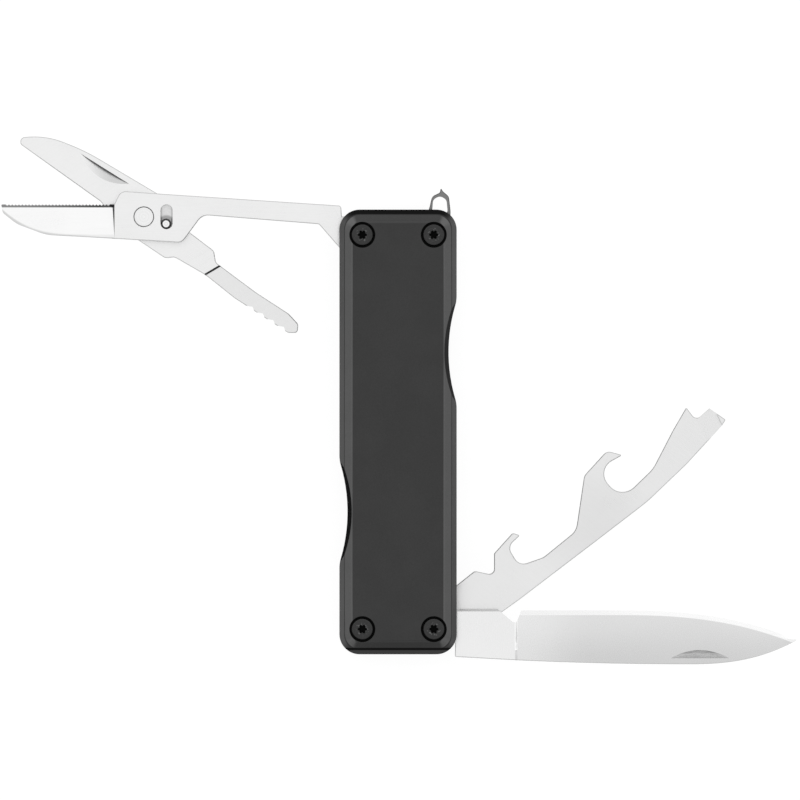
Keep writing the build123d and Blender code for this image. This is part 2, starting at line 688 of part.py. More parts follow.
# ---------------------------------------------------------------- lanyard loop
def loop_plan():
    """Outline of the swinging bail about its post: it leans to the outer side of the handle."""
    outer = rounded(
        [
            (-2.1, 0, 0),
            (-0.6, 4.2, 1.5),
            (-0.25, 5.75, 1.0),
            (0.92, 6.3, 0.4),
            (1.05, 7.05, 0.1),
            (1.35, 6.5, 0.4),
            (2.25, 5.75, 0.9),
            (2.5, 3.6, 3.0),
            (2.45, 0, 0),
        ]
    )
    eye = rounded(
        [
            (-0.25, 3.2, 0.5),
            (-0.1, 5.25, 0.8),
            (0.93, 5.85, 0.9),
            (1.9, 5.25, 0.8),
            (2.1, 3.2, 0.5),
        ]
    )
    return outer + Circle(LOOP_EYE_RADIUS) - eye


def lanyard_loop():
    """Small swinging bail on the upper right post, with a slightly pointed crown."""
    body = plate(loop_plan(), 0, LOOP_THICK)
    body -= disc((0, 0), POST_RADIUS + PIVOT_CLEARANCE, 0, LOOP_THICK)
    rims = body.faces().filter_by(Plane.XY).group_by(Axis.Z)[-1][0]
    rims = [w for w in rims.wires() if w.length > 4 * LOOP_EYE_RADIUS]
    body = chamfer([e for w in rims for e in w.edges()], LOOP_SOFTEN)
    return Pos(*LANYARD_POST, REAR_Z + TOOL_GAP) * body


# ---------------------------------------------------------------- nodes
def main():
    """Builds every node and writes one file for each."""
    front_scale = Pos(0, 0, FRONT_SCALE_Z) * scale()
    rear_scale = Pos(0, 0, SCALE_THICK) * mirror(scale(), about=Plane.XY)
    front_seat = TOP_Z - SCREW_SUNK - SCREW_HEAD_HEIGHT
    rear_seat = SCREW_SUNK + SCREW_HEAD_HEIGHT
    nodes = {
        "front_scale": front_scale,
        "rear_scale": rear_scale,
        "front_liner": Pos(0, 0, FRONT_LINER_Z) * liner(),
        "rear_liner": Pos(0, 0, REAR_LINER_Z) * liner(),
        "front_screws": [Pos(*p, front_seat) * screw() for p in POSTS],
        "rear_screws": [Pos(*p, rear_seat) * Rot(180, 0, 0) * screw() for p in POSTS],
        "knife_pivot_post": post_at(KNIFE_POST),
        "scissor_pivot_post": post_at(SCISSOR_POST),
        "lanyard_post": post_at(LANYARD_POST),
        "spring_post": post_at(SPRING_POST),
        "layer_washers": washers(),
        "front_spring": front_spring(),
        "rear_spring": rear_spring(),
        "scissor_spacer": scissor_spacer(),
        "knife_blade": knife_blade(),
        "combo_opener": combo_opener(),
        "scissor_frame": scissor_frame(),
        "scissor_rivet": scissor_rivet(),
        "scissor_return_spring": scissor_return_spring(),
        "scissor_blade": scissor_blade(),
        "scissor_limit_pin": scissor_limit_pin(),
        "lanyard_loop": lanyard_loop(),
    }
    os.makedirs("parts", exist_ok=True)
    for name, shape in nodes.items():
        solids = shape if isinstance(shape, list) else [shape]
        whole = Compound([s for part in solids for s in part.solids()])
        export_step(whole, f"parts/{name}.step")


main()
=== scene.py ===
import math

import bpy
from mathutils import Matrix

# A pocket multi tool lying on its rear scale, seen from straight above, with its knife, its
# opener and its scissors out. Metres; X across the handle, Y along it, Z out of the front scale.
# Every visible shape is the CAD model's; this script gives it materials, light and a camera.

MM = 0.001
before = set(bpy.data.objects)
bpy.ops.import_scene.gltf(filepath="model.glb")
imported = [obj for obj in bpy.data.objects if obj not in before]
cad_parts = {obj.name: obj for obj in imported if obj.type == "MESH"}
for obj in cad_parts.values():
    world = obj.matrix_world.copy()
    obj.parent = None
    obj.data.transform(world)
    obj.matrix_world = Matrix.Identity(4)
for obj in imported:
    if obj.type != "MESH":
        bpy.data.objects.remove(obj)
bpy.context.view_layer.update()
scene = bpy.context.scene


def mm(*lengths):
    """Millimetres turned into metres."""
    return tuple(length * MM for length in lengths)


# ---------------------------------------------------------------- places on the CAD model
HALF_THICK = 4.65 * MM
POST_X, POST_Y = mm(5.3, 29.25)  # the four posts' axes, either way from the middle
RIVET = mm(-37.75, 31.95)
LIMIT_PIN = mm(-34.45, 30.9)
OPENER_MIDDLE = mm(28.7, -13.8)

ACROSS, ALONG, UP = 0, 1, 2  # axes
NOISE_SPREAD = (0.3, 0.7)  # nearly all of a noise lies between these


# ---------------------------------------------------------------- node helpers
class Graph:
    """A material's or world's node tree, with short calls for the nodes used here."""

    def __init__(self, tree):
        self.nodes = tree.nodes
        self.links = tree.links

    def add(self, kind, inputs=None, **settings):
        """A new node, with its inputs set or linked by name or number."""
        node = self.nodes.new(kind)
        for key, value in settings.items():
            setattr(node, key, value)
        for key, value in (inputs or {}).items():
            self.feed(node.inputs[key], value)
        return node

    def feed(self, socket, value):
        if isinstance(value, bpy.types.NodeSocket):
            self.links.new(value, socket)
        else:
            socket.default_value = value

    def math(self, operation, *values, clamp=False):
        node = self.add("ShaderNodeMath", operation=operation, use_clamp=clamp)
        for socket, value in zip(node.inputs, values):
            self.feed(socket, value)
        return node.outputs[0]

    def times(self, first, *others):
        for other in others:
            first = self.math("MULTIPLY", first, other)
        return first

    def plus(self, first, second):
        return self.math("ADD", first, second)

    def minus(self, first, second):
        return self.math("SUBTRACT", first, second)

    def ramp(self, value, low, high, to_low=0.0, to_high=1.0):
        """value mapped smoothly from low..high to to_low..to_high, and held outside."""
        node = self.add("ShaderNodeMapRange", interpolation_type="SMOOTHSTEP")
        for socket, number in zip(node.inputs, (value, low, high, to_low, to_high)):
            self.feed(socket, number)
        return node.outputs[0]

    def fade(self, value, full, end):
        """1 where value is up to full, falling to 0 at end."""
        return self.ramp(value, full, end, 1.0, 0.0)

    def band(self, value, start, full, fade, end):
        """1 where value lies from full to fade, falling to 0 at start and end."""
        return self.times(self.ramp(value, start, full), self.fade(value, fade, end))

    def blend(self, mask, off, on):
        """The number off where mask is 0, and on where it is 1."""
        return self.ramp(mask, 0.0, 1.0, off, on)

    def vary(self, noise, low, high):
        """A number from low to high that follows a noise."""
        return self.ramp(noise, *NOISE_SPREAD, low, high)

    def mix(self, factor, first, second):
        """A colour between two others."""
        inputs = {0: factor, 6: first, 7: second}
        return self.add("ShaderNodeMix", inputs, data_type="RGBA").outputs[2]

    def split(self, vector):
        """The vector's three parts."""
        return self.add("ShaderNodeSeparateXYZ", {"Vector": vector}).outputs

    def place(self, kind="Object"):
        """Position on the object in metres, or what else the Texture Coordinate node gives."""
        return self.add("ShaderNodeTexCoord").outputs[kind]

    def slope(self, axis):
        """How far the surface faces along that axis, either way, from 0 to 1."""
        return self.math("ABSOLUTE", self.split(self.place("Normal"))[axis])

    def length(self, across, along):
        """Length of the hypotenuse over those two sides."""
        square = self.plus(self.times(across, across), self.times(along, along))
        return self.math("SQRT", square)

    def noise(self, size, detail=3.0, roughness=0.55, turn=0.0, squeeze=1.0):
        """Noise from 0 to 1 with grains of about that size, in metres. Position is first turned
        about Z by some degrees, and then squeezed along X, which draws the grains out there."""
        turned = self.add(
            "ShaderNodeMapping", {"Vector": self.place(), "Rotation": (0, 0, math.radians(turn))}
        )
        drawn = self.add(
            "ShaderNodeMapping", {"Vector": turned.outputs[0], "Scale": (squeeze, 1.0, 1.0)}
        )
        inputs = {
            "Vector": drawn.outputs[0],
            "Scale": 1 / size,
            "Detail": detail,
            "Roughness": roughness,
        }
        return self.add("ShaderNodeTexNoise", inputs).outputs[0]

    def bump(self, height, strength, distance, **settings):
        """A Bump node on that height, with a strength from 0 to 1 and a distance in metres."""
        inputs = {"Height": height, "Strength": strength, "Distance": distance}
        return self.add("ShaderNodeBump", inputs, **settings)

    def darken(self, tone, mask, share):
        """tone with that share taken off it where mask is 1; a share below 0 makes it paler."""
        return self.times(tone, self.minus(1.0, self.times(mask, share)))

    def to_post(self):
        """Distance from the nearest of the four posts' axes, in metres."""
        x, y, _ = self.split(self.place())
        across = self.minus(self.math("ABSOLUTE", x), POST_X)
        along = self.minus(self.math("ABSOLUTE", y), POST_Y)
        return self.length(across, along)

    def from_axis(self, centre):
        """Distance from the upright axis through centre, in metres."""
        x, y, _ = self.split(self.place())
        return self.length(self.minus(x, centre[0]), self.minus(y, centre[1]))

    def turning_marks(self, centre, pitch, depth):
        """Rings round an axis, as a number from 1 down to 1 - depth."""
        rings = self.math("SINE", self.times(self.from_axis(centre), 2 * math.pi / pitch))
        return self.ramp(rings, -1.0, 1.0, 1 - depth, 1.0)


def grey(level):
    return (level, level, level, 1.0)


def new_material(name):
    """A material with an empty Principled shader, its graph and the shader."""
    material = bpy.data.materials.new(name)
    material.use_nodes = True
    material.node_tree.nodes.clear()
    graph = Graph(material.node_tree)
    shader = graph.add("ShaderNodeBsdfPrincipled")
    graph.add("ShaderNodeOutputMaterial", {"Surface": shader.outputs[0]})
    return material, graph, shader


def make_metal(graph, shader, colour, gloss, bump):
    """Gives the shader a metal's colour, or its grey as one number, roughness and Bump node."""
    if colour.type == "VALUE":
        tone = graph.math("MULTIPLY", colour, 1.0, clamp=True)
        colour = graph.add("ShaderNodeCombineColor", {0: tone, 1: tone, 2: tone}).outputs[0]
    graph.feed(shader.inputs["Base Color"], colour)
    graph.feed(shader.inputs["Roughness"], gloss)
    graph.feed(shader.inputs["Normal"], bump.outputs[0])
    shader.inputs["Metallic"].default_value = 1.0


# ---------------------------------------------------------------- metals
FINE_SIZE, COARSE_SIZE, STRAY_SIZE, CLOUD_SIZE = mm(0.07, 0.35, 0.12, 9)
FINE_PART, COARSE_PART = 0.6, 0.4
GRAIN_DARK, GRAIN_BRIGHT = 0.03, 0.025  # shares of the tone, either way
CLOUD_TONE = (0.985, 1.012)
CLOUD_GLOSS = (-0.02, 0.03)
STRAY_TURN = 63  # degrees between the grain and the stray scratches
STRAY_LEVEL = (0.68, 0.78)  # only the peaks of their noise are scratches
SCRATCH_TONE = 0.03
STEEL_RIM = (0.45, 0.62, 0.8, 0.92)  # a band of slopes: the rims, where shade is painted
STEEL_RIM_SHARE = 0.3
STEEL_BUMP = 0.004 * MM


def satin_steel(name, level, turn, rough, grain=1.0, detail=None):
    """Belt-ground steel: long fine grain, a few stray scratches, cloudy sheen, painted shade on
    its rims.
    """
    material, graph, shader = new_material(name)
    fine = graph.noise(FINE_SIZE, 2.0, turn=turn, squeeze=0.035)
    coarse = graph.noise(COARSE_SIZE, 3.0, turn=turn, squeeze=0.05)
    stray = graph.noise(STRAY_SIZE, 1.0, turn=turn + STRAY_TURN, squeeze=0.02)
    cloud = graph.noise(CLOUD_SIZE, 2.0)
    lines = graph.plus(graph.times(fine, FINE_PART), graph.times(coarse, COARSE_PART))
    scratch = graph.ramp(stray, *STRAY_LEVEL)

    tone = graph.vary(lines, level * (1 - GRAIN_DARK * grain), level * (1 + GRAIN_BRIGHT * grain))
    tone = graph.times(tone, graph.vary(cloud, *CLOUD_TONE))
    tone = graph.minus(tone, graph.times(scratch, SCRATCH_TONE))
    # painted shade on the rims
    tone = graph.darken(tone, graph.band(graph.slope(UP), *STEEL_RIM), STEEL_RIM_SHARE)
    gloss = graph.ramp(lines, 0.25, 0.75, rough - 0.05, rough + 0.07)
    gloss = graph.plus(gloss, graph.vary(cloud, *CLOUD_GLOSS))
    if detail:
        tone, gloss = detail(graph, tone, gloss)

    ground = graph.bump(lines, 0.25 * grain, STEEL_BUMP)
    scratched = graph.bump(scratch, 0.3, STEEL_BUMP, invert=True)
    graph.feed(scratched.inputs["Normal"], ground.outputs[0])
    make_metal(graph, shader, tone, gloss, scratched)
    return material


BEAD_SIZE, PIT_SIZE, PATCH_SIZE = mm(0.11, 0.35, 6)
BLACK_TONE = (0.043, 0.053)
PATCH_TONE = (0.97, 1.04)
BLACK_GLOSS = (0.36, 0.46)
BLACK_BUMP = 0.006 * MM
SPECULAR_TINT = 0.3
# The handle's slopes, as bands of how far they face up.
NOTCH_WALL = (0.12, 0.25, 0.42, 0.5)
STEEP_BEVEL = (0.46, 0.54, 0.7, 0.82)
GENTLE_BEVEL = (0.8, 0.86, 0.97, 0.99)
# Painted shade there, as shares that are taken off the tone. The long bevels' are below 0, a
# painted highlight that makes them paler, because the studio is dimmer low down, where they face.
LEFT_NOTCH_SHARE, RIGHT_NOTCH_SHARE = 0.56, -0.2
HEAD_BEVEL_SHARE, FOOT_BEVEL_SHARE = 0.72, -0.15
STEEP_SIDE_SHARE, GENTLE_SIDE_SHARE, GENTLE_END_SHARE = -1.1, -1.2, -0.25
FOOT_SHADE_LINE_Y = mm(-32.45, -32.3, -32.1, -31.95)  # a painted dark shade line between the foot's bevels
FOOT_SHADE_LINE_SHARE = 0.8
COUNTERBORE = mm(1.9, 1.94)  # from a post's axis; painted shade lies within this
COUNTERBORE_SHADE_SHARE = 0.85


def anodised(name):
    """Bead-blasted aluminium, anodised black: an even matte grain, with painted shade and
    highlight on each slope.
    """
    material, graph, shader = new_material(name)
    beads = graph.noise(BEAD_SIZE, 4.0, 0.65)
    pits = graph.noise(PIT_SIZE, 2.0)
    patches = graph.noise(PATCH_SIZE, 3.0)
    x, y, _ = graph.split(graph.place())
    across, along, up = [graph.slope(axis) for axis in (ACROSS, ALONG, UP)]

    tone = graph.times(graph.vary(beads, *BLACK_TONE), graph.vary(patches, *PATCH_TONE))
    # painted shade on the left notch's walls, a painted highlight on the right's
    notch_share = graph.ramp(x, *mm(-1, 1), LEFT_NOTCH_SHARE, RIGHT_NOTCH_SHARE)
    tone = graph.darken(tone, graph.band(up, *NOTCH_WALL), notch_share)

    # painted shade on the head's steep bevel, a painted highlight on the foot's
    steep = graph.band(up, *STEEP_BEVEL)
    foot = graph.fade(graph.split(graph.place("Normal"))[ALONG], -0.3, -0.1)
    end_share = graph.blend(foot, HEAD_BEVEL_SHARE, FOOT_BEVEL_SHARE)
    tone = graph.darken(tone, graph.times(steep, graph.ramp(along, 0.5, 0.75)), end_share)
    # a painted shade line between the foot's bevels
    shade_line = graph.times(graph.band(y, *FOOT_SHADE_LINE_Y), graph.ramp(along, 0.3, 0.5))
    tone = graph.darken(tone, shade_line, FOOT_SHADE_LINE_SHARE)
    # a painted highlight on the steep sides
    sides = graph.times(steep, graph.ramp(across, 0.5, 0.75))
    tone = graph.darken(tone, sides, STEEP_SIDE_SHARE)

    # painted highlights on the gentle bevels' sides and ends
    gentle = graph.band(up, *GENTLE_BEVEL)
    gentle_sides = graph.times(gentle, graph.ramp(across, 0.12, 0.3))
    tone = graph.darken(tone, gentle_sides, GENTLE_SIDE_SHARE)
    gentle_ends = graph.times(gentle, graph.ramp(along, 0.12, 0.3))
    tone = graph.darken(tone, gentle_ends, GENTLE_END_SHARE)
    # painted shade in the counterbores round the screw heads
    tone = graph.darken(tone, graph.fade(graph.to_post(), *COUNTERBORE), COUNTERBORE_SHADE_SHARE)

    height = graph.plus(graph.times(beads, FINE_PART), graph.times(pits, COARSE_PART))
    blasted = graph.bump(height, 0.35, BLACK_BUMP)
    make_metal(graph, shader, tone, graph.vary(beads, *BLACK_GLOSS), blasted)
    shader.inputs["Specular Tint"].default_value = grey(SPECULAR_TINT)
    return material


OXIDE_SIZE, GLINT_SIZE = mm(0.09, 0.28)
OXIDE_TONE = (0.034, 0.052)
OXIDE_GLOSS = (0.28, 0.4)
OXIDE_BUMP = 0.005 * MM
RECESS = mm(0.66, 0.8)  # the driver recess, with painted shade, from the screw's axis
RECESS_DEPTH = mm(4.35, 4.5)  # and its painted shade's end, from the middle of the tool's thickness
RECESS_SHARE = 0.93
SCREW_RIM = (0.3, 0.8)  # slopes: the steep rim, with painted shade
SCREW_RIM_SHARE = 0.7
GLINT_RING = mm(0.6, 0.7, 0.9, 1.1)  # painted glints in specks round the recess, from the screw's axis
GLINT_LEVEL = (0.56, 0.66)
GLINT_TONE = 0.09


def black_oxide(name):
    """Black oxide on a turned screw, with painted glints in specks; painted shade in its recess
    and on its rim.
    """
    material, graph, shader = new_material(name)
    grain = graph.noise(OXIDE_SIZE, 3.0)
    glint_noise = graph.noise(GLINT_SIZE, 2.0)
    from_post = graph.to_post()
    from_middle = graph.math("ABSOLUTE", graph.minus(graph.split(graph.place())[UP], HALF_THICK))

    tone = graph.vary(grain, *OXIDE_TONE)
    # painted shade in the driver recess and on the rim
    recess = graph.times(graph.fade(from_post, *RECESS), graph.fade(from_middle, *RECESS_DEPTH))
    tone = graph.darken(tone, recess, RECESS_SHARE)
    tone = graph.darken(tone, graph.fade(graph.slope(UP), *SCREW_RIM), SCREW_RIM_SHARE)
    # painted glints in specks round the recess
    specks = graph.times(graph.ramp(glint_noise, *GLINT_LEVEL), graph.band(from_post, *GLINT_RING))
    tone = graph.plus(tone, graph.times(specks, GLINT_TONE))

    turned = graph.bump(grain, 0.3, OXIDE_BUMP)
    make_metal(graph, shader, tone, graph.vary(grain, *OXIDE_GLOSS), turned)
    return material


BRONZE_SIZE, TARNISH_SIZE = mm(0.12, 1.2)
BRONZE_GLOSS = (0.3, 0.45)
BRONZE_BUMP = 0.004 * MM
BRONZE_DARK = (0.62, 0.36, 0.17, 1.0)
BRONZE_BRIGHT = (0.7, 0.43, 0.22, 1.0)
TARNISH = (0.36, 0.2, 0.1, 1.0)
TARNISH_LEVEL = (0.45, 0.7)
TARNISH_SHARE = 0.6


def bronze(name):
    """Turned phosphor bronze, a little tarnished."""
    material, graph, shader = new_material(name)
    grain = graph.noise(BRONZE_SIZE, 3.0)
    patches = graph.ramp(graph.noise(TARNISH_SIZE, 3.0), *TARNISH_LEVEL)
    shade = graph.mix(graph.vary(grain, 0.0, 1.0), BRONZE_DARK, BRONZE_BRIGHT)
    shade = graph.mix(graph.times(patches, TARNISH_SHARE), shade, TARNISH)
    turned = graph.bump(grain, 0.3, BRONZE_BUMP)
    make_metal(graph, shader, shade, graph.vary(grain, *BRONZE_GLOSS), turned)
    return material


# ---------------------------------------------------------------- what single tools add
# The knife lies along X with its cutting edge upwards, towards the head of the handle. The edge
# is level as far as EDGE_BEND, and from there falls to the point, EDGE_RUN further on.
EDGE_BEND = mm(32.0, -26.5)
EDGE_RUN, EDGE_FALL = mm(27.3, 4.4)
EDGE_POWER = 2.6
STRIP_DEPTH = mm(0.6, 0.74)  # how far below the edge the whetted strip ends
STRIP_START = mm(17.6, 18)
STRIP_REACH = mm(25, 40)  # its faint painted shade near the handle ends along this stretch
STRIP_SHARE = 0.07
STRIP_GLOSS = 0.6  # its roughness, as a share of the rest's
GROUND_DEPTH = mm(0.66, 0.74)  # how far below the edge the ground face begins
GROUND_START = mm(17.62, 17.72)
GROUND_UP = (0.96, 0.97)
GROUND_REACH = mm(17.7, 29)  # its painted shade grows from GROUND_WEAK to full along this stretch
GROUND_WEAK = 0.55
SPINE_TO_EDGE = mm(-34.5, -27)
SPINE_SHARE, EDGE_SHARE = 0.3, 0.19
PLUNGE_X = mm(17.3, 17.5, 17.65, 17.75)  # the wall where the grind starts, with a painted highlight
PLUNGE_LOW, PLUNGE_HIGH = mm(-32.5, -32.2), mm(-29.9, -29.5)  # where its painted shade changes
PLUNGE_LOW_SHARE, PLUNGE_SHARE, PLUNGE_HIGH_SHARE = 0.25, -0.85, -0.25
KNIFE_NICK_X = mm(40, 40.3, 49.4, 49.8)
KNIFE_NICK_Y = mm(-33.8, -33.6)
KNIFE_NICK_WALL = (0.3, 0.42, 0.58, 0.68)  # bands of slopes, as on the handle, for the nick's painted shade
KNIFE_NICK_FLOOR = (0.7, 0.78, 0.88, 0.95)
KNIFE_NICK_WALL_SHARE = 0.4
NICK_FLOOR_Y = mm(-33.4, -32.5)  # the floor's painted shade changes from the first share to the second
NICK_FLOOR_SHARES = (-0.48, 0.2)
STREAK_SIZE = 0.25 * MM
STREAK_SHARES = (-0.12, 0.14)


def below_edge(graph):
    """How far a point of the knife lies below its cutting edge, in metres."""
    x, y, _ = graph.split(graph.place())
    run = graph.math("DIVIDE", graph.minus(x, EDGE_BEND[0]), EDGE_RUN)
    curve = graph.math("POWER", graph.math("MAXIMUM", run, 0.0), EDGE_POWER)
    edge = graph.minus(EDGE_BEND[1], graph.times(curve, EDGE_FALL))
    return graph.minus(edge, y)


def knife_detail(graph, tone, gloss):
    """Painted shade on the ground face, deeper towards the spine; the whetted strip along the
    edge is left bright.
    """
    x, y, _ = graph.split(graph.place())
    up = graph.slope(UP)
    depth = below_edge(graph)

    # painted shade on the ground face
    ground = graph.times(
        graph.ramp(depth, *GROUND_DEPTH),
        graph.ramp(up, *GROUND_UP),
        graph.ramp(x, *GROUND_START),
        graph.ramp(x, *GROUND_REACH, GROUND_WEAK, 1.0),
    )
    ground_share = graph.ramp(y, *SPINE_TO_EDGE, SPINE_SHARE, EDGE_SHARE)
    tone = graph.darken(tone, ground, ground_share)
    # the whetted strip: less roughness, and a faint painted shade near the handle
    strip = graph.times(graph.fade(depth, *STRIP_DEPTH), graph.ramp(x, *STRIP_START))
    tone = graph.darken(tone, strip, graph.ramp(x, *STRIP_REACH, STRIP_SHARE, 0.0))
    gloss = graph.times(gloss, graph.blend(strip, 1.0, STRIP_GLOSS))

    # a painted highlight on the plunge wall, with painted shade at its low end near the spine
    plunge_share = graph.plus(
        graph.ramp(y, *PLUNGE_LOW, PLUNGE_LOW_SHARE, PLUNGE_SHARE),
        graph.ramp(y, *PLUNGE_HIGH, 0.0, PLUNGE_HIGH_SHARE),
    )
    tone = graph.darken(tone, graph.band(x, *PLUNGE_X), plunge_share)

    # painted shade on the nail nick's wall, and painted shade and highlight on its floor
    nick = graph.times(graph.band(x, *KNIFE_NICK_X), graph.ramp(y, *KNIFE_NICK_Y))
    nick_floor = graph.times(nick, graph.band(up, *KNIFE_NICK_FLOOR))
    streaks = graph.noise(STREAK_SIZE, 1.0, squeeze=0.12)
    floor_share = graph.plus(
        graph.ramp(y, *NICK_FLOOR_Y, *NICK_FLOOR_SHARES),
        graph.ramp(streaks, 0.4, 0.6, *STREAK_SHARES),
    )
    tone = graph.darken(tone, nick_floor, floor_share)
    ends = graph.ramp(graph.slope(ALONG), 0.5, 0.7)
    nick_wall = graph.times(nick, graph.band(up, *KNIFE_NICK_WALL), ends)
    return graph.darken(tone, nick_wall, KNIFE_NICK_WALL_SHARE), gloss


# The scissors' fixed jaw lies along X, left of JAW_STEP_X, with its teeth upwards. Its lower
# side is level as far as JAW_BEND, and from there rises to the point, JAW_RUN further left.
# A painted highlight on the fixed jaw's ground face.
JAW_FACE_X = mm(-42.12, -42.04)
JAW_FACE_UP = (0.96, 0.98)
JAW_FACE_GAIN = 1.03
JAW_BEND = mm(-46.5, 28.95)
JAW_RUN, JAW_RISE = mm(12.2, 3.7)
JAW_POWER = 3.0
JAW_RIM = mm(0.15, 0.5)  # a painted shade line along that side
JAW_RIM_X = mm(-50, -44)
JAW_RIM_POINT_SHARE, JAW_RIM_HEEL_SHARE = 0.3, 0.1
# Painted shade on the teeth and on the step behind them.
JAW_STEEP = (0.6, 0.75)  # slopes
TEETH_Y = mm(33.3, 33.4)
JAW_STEP_X = mm(-42.5, -42.45)
TEETH_X = mm(-58, -43)  # from the point to the heel
TEETH_POINT_SHARE, TEETH_HEEL_SHARE = 0.72, 0.93


def frame_detail(graph, tone, gloss):
    """Fixed jaw: a painted highlight on its ground face, painted shade on the toothed strip and
    the step behind it.
    """
    x, y, _ = graph.split(graph.place())
    up = graph.slope(UP)
    jaw = graph.fade(x, *JAW_FACE_X)

    face = graph.times(jaw, graph.ramp(up, *JAW_FACE_UP))
    tone = graph.times(tone, graph.blend(face, 1.0, JAW_FACE_GAIN))
    run = graph.math("DIVIDE", graph.math("MAXIMUM", graph.minus(JAW_BEND[0], x), 0.0), JAW_RUN)
    rise = graph.times(graph.math("POWER", run, JAW_POWER), JAW_RISE)
    height = graph.minus(graph.minus(y, JAW_BEND[1]), rise)
    rim = graph.times(graph.fade(height, *JAW_RIM), face)
    rim_share = graph.ramp(x, *JAW_RIM_X, JAW_RIM_POINT_SHARE, JAW_RIM_HEEL_SHARE)
    tone = graph.darken(tone, rim, rim_share)

    steep = graph.fade(up, *JAW_STEEP)
    teeth = graph.times(graph.ramp(y, *TEETH_Y), steep)
    step = graph.times(graph.ramp(x, *JAW_STEP_X), steep)
    dark = graph.times(jaw, graph.math("MAXIMUM", teeth, step))
    dark_share = graph.ramp(x, *TEETH_X, TEETH_POINT_SHARE, TEETH_HEEL_SHARE)
    return graph.darken(tone, dark, dark_share), gloss


JAW_TOP_Z = mm(4.1, 4.25)  # the moving jaw's upper part, with its nail nick
# Painted shade on the nail nick's wall and floor.
JAW_NICK_WALL = (0.2, 0.3, 0.6, 0.68)
JAW_NICK_WALL_SHARE = 0.9
JAW_NICK_FLOOR = (0.85, 0.9, 0.96, 0.985)
JAW_NICK_X = mm(-48, -42)
JAW_NICK_SHARES = (0.06, 0.36)  # at the nick's left and right ends
# Painted shadow in the slot, deeper at its sides and round the pin.
SLOT_X = mm(-35.4, -35.3, -33.5, -33.4)  # what shows of the jaw through the head's slot
SLOT_Y = mm(29.9, 30.0, 33.9, 34)
SLOT_MIDDLE_X = -34.38 * MM
SLOT_EDGE = mm(0.55, 0.85)  # from its middle
SLOT_SHARE, SLOT_EDGE_SHARE = 0.1, 0.42
PIN_SHADOW = mm(1.1, 1.5)  # from the pin's axis
PIN_SHADOW_SHARE = 0.4
LEVER_Z = mm(4.32, 4.4)  # the lever's face lies lower than the jaw's, and gets painted shade
LEVER_SHARE = 0.07


def jaw_detail(graph, tone, gloss):
    """Moving jaw: painted shadow on its nail nick's wall and floor, the lever's face and the
    slot's floor.
    """
    x, y, z = graph.split(graph.place())
    up = graph.slope(UP)

    top = graph.ramp(z, *JAW_TOP_Z)
    nick_wall = graph.times(graph.band(up, *JAW_NICK_WALL), top)
    tone = graph.darken(tone, nick_wall, JAW_NICK_WALL_SHARE)
    nick_floor = graph.times(graph.band(up, *JAW_NICK_FLOOR), top)
    tone = graph.darken(tone, nick_floor, graph.ramp(x, *JAW_NICK_X, *JAW_NICK_SHARES))

    slot = graph.times(graph.band(x, *SLOT_X), graph.band(y, *SLOT_Y))
    beside = graph.math("ABSOLUTE", graph.minus(x, SLOT_MIDDLE_X))
    slot_share = graph.plus(
        graph.ramp(beside, *SLOT_EDGE, SLOT_SHARE, SLOT_EDGE_SHARE),
        graph.ramp(graph.from_axis(LIMIT_PIN), *PIN_SHADOW, PIN_SHADOW_SHARE, 0.0),
    )
    tone = graph.darken(tone, slot, slot_share)
    return graph.darken(tone, graph.fade(z, *LEVER_Z), LEVER_SHARE), gloss


OPENER_SHADE = mm(2, 11)  # from its middle; painted shade lies within this
OPENER_SHADE_SHARE = 0.06
DRIVER_GRIND = (0.93, 0.95, 0.9985, 0.9993)  # a band of slopes, with painted shade
DRIVER_GRIND_SHARE = 0.05


def opener_detail(graph, tone, gloss):
    """Painted shade on the opener between its hooks and on the driver's ground tip."""
    middle = graph.fade(graph.from_axis(OPENER_MIDDLE), *OPENER_SHADE)
    tone = graph.darken(tone, middle, OPENER_SHADE_SHARE)
    ground = graph.band(graph.slope(UP), *DRIVER_GRIND)
    return graph.darken(tone, ground, DRIVER_GRIND_SHARE), gloss


# Slopes of the rivet's and pin's rims, and the painted shade there.
HEAD_RIM = (0.8, 0.95)
RIVET_RIM_SHARE, PIN_RIM_SHARE = 0.35, 0.75
RIVET_PITCH, PIN_PITCH = mm(0.42, 0.3)  # from one turning mark to the next
RIVET_MARKS, PIN_MARKS = 0.04, 0.16
# Slopes of the loop's rims, and the painted shade there.
LOOP_RIM = (0.75, 0.9)
LOOP_RIM_SHARE = 0.45


def rivet_detail(graph, tone, gloss):
    """Faint turning marks round the rivet's head, and painted shade on its rim."""
    tone = graph.times(tone, graph.turning_marks(RIVET, RIVET_PITCH, RIVET_MARKS))
    return graph.darken(tone, graph.fade(graph.slope(UP), *HEAD_RIM), RIVET_RIM_SHARE), gloss


def pin_detail(graph, tone, gloss):
    """Turning marks on the limit pin's end; painted shade on its rim and sides."""
    tone = graph.times(tone, graph.turning_marks(LIMIT_PIN, PIN_PITCH, PIN_MARKS))
    return graph.darken(tone, graph.fade(graph.slope(UP), *HEAD_RIM), PIN_RIM_SHARE), gloss


def loop_detail(graph, tone, gloss):
    """Painted shade on the loop's rims."""
    return graph.darken(tone, graph.fade(graph.slope(UP), *LOOP_RIM), LOOP_RIM_SHARE), gloss


